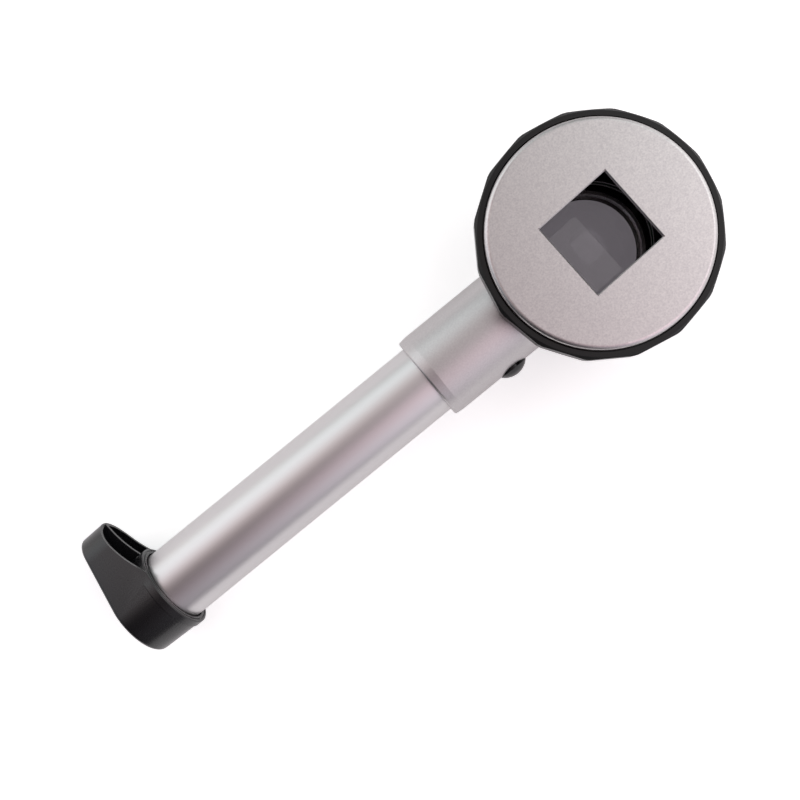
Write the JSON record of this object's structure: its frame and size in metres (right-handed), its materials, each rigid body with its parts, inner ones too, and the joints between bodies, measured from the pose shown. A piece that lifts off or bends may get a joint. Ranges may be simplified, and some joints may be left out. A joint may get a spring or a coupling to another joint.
{
  "type": "dermatoscope",
  "caption": "Battery dermatoscope with a round viewing head, square window, many-sided focusing ring and slim tubular handle.",
  "frame": {"origin": "on the resting plane of the eyepiece ring, under the middle of the instrument's bounding box", "axes": "+Z along the optical axis, from the eye towards the skin contact face; +X along the handle towards the viewing head; +Y towards the side of the end cap's lug, opposite the button"},
  "size_m": [0.175, 0.0584, 0.0322],
  "materials": {
    "satin_anodised": "satin anodised",
    "blasted_anodised": "bead-blasted and anodised",
    "black_anodised": "black satin anodised",
    "bare_aluminium": "turned",
    "black_moulding": "moulded, fine grain",
    "black_gloss": "polished moulding",
    "pale_plastic": "moulded",
    "lamp_lens": "clear epoxy",
    "board_green": "glass-fibre board",
    "chip_black": "ceramic chip",
    "lens_glass": "polished",
    "steel": "turned steel",
    "spring_steel": "nickel-plated wire",
    "battery_film": "plain printed film",
    "brass": "plated brass",
    "seal_rubber": "nitrile",
    "wire_red": "insulated wire",
    "wire_black": "insulated wire"
  },
  "bodies": {
    "handle": {"face_plate": "blasted_anodised", "head_housing": "blasted_anodised", "eyepiece_ring": "black_moulding", "guide_screws": "steel", "lamp_board": "board_green", "lamps": "lamp_lens", "lamp_resistors": "chip_black", "light_shroud": "black_moulding", "drum_seal": "seal_rubber", "stop_pin": "steel", "neck_sleeve": "blasted_anodised", "handle_tube": "satin_anodised", "battery_rear": "battery_film", "battery_front": "battery_film", "contact_carrier": "pale_plastic", "front_contact": "brass", "switch_body": "black_moulding", "switch_board": "board_green", "switch_cradle": "black_moulding", "lead_battery": "wire_red", "lead_live": "wire_red", "lead_return": "wire_black", "cap_seal": "seal_rubber"},
    "focus_ring": {"grip_ring": "black_anodised", "focus_drum": "black_anodised"},
    "lens": {"lens_cell": "black_anodised", "magnifier_lens": "lens_glass", "lens_retainer": "bare_aluminium"},
    "button": {"button_cap": "black_gloss", "switch_plunger": "pale_plastic"},
    "contact_spring": {"tail_spring": "spring_steel"},
    "cap": {"end_cap": "black_moulding", "tail_contact": "steel"}
  },
  "joints": [
    {"name": "focus_turn", "type": "hinge", "parent": "handle", "child": "focus_ring", "pos_m": [0.05824, 0, 0.0277], "axis": [0, 0, 1], "range_deg": [-45, 45]},
    {"name": "lens_travel", "type": "slide", "parent": "handle", "child": "lens", "axis": [0, 0, 1], "range_m": [-0.0012, 0.0012]},
    {"name": "button_press", "type": "slide", "parent": "handle", "child": "button", "axis": [0, 1, 0], "range_m": [0, 0.001], "stiffness_N_per_m": 1500, "springref_m": -0.0005},
    {"name": "cap_draw", "type": "slide", "parent": "handle", "child": "contact_spring", "axis": [-1, 0, 0], "range_m": [0, 0.00525]},
    {"name": "cap_turn", "type": "hinge", "parent": "contact_spring", "child": "cap", "pos_m": [-0.08, 0, 0.0132], "axis": [-1, 0, 0], "range_deg": [0, 1260]}
  ],
  "couplings": [
    {"joint": "focus_turn", "follows": "lens_travel", "rad_per_m": 654.5},
    {"joint": "cap_turn", "follows": "cap_draw", "rad_per_m": 4188.8}
  ]
}
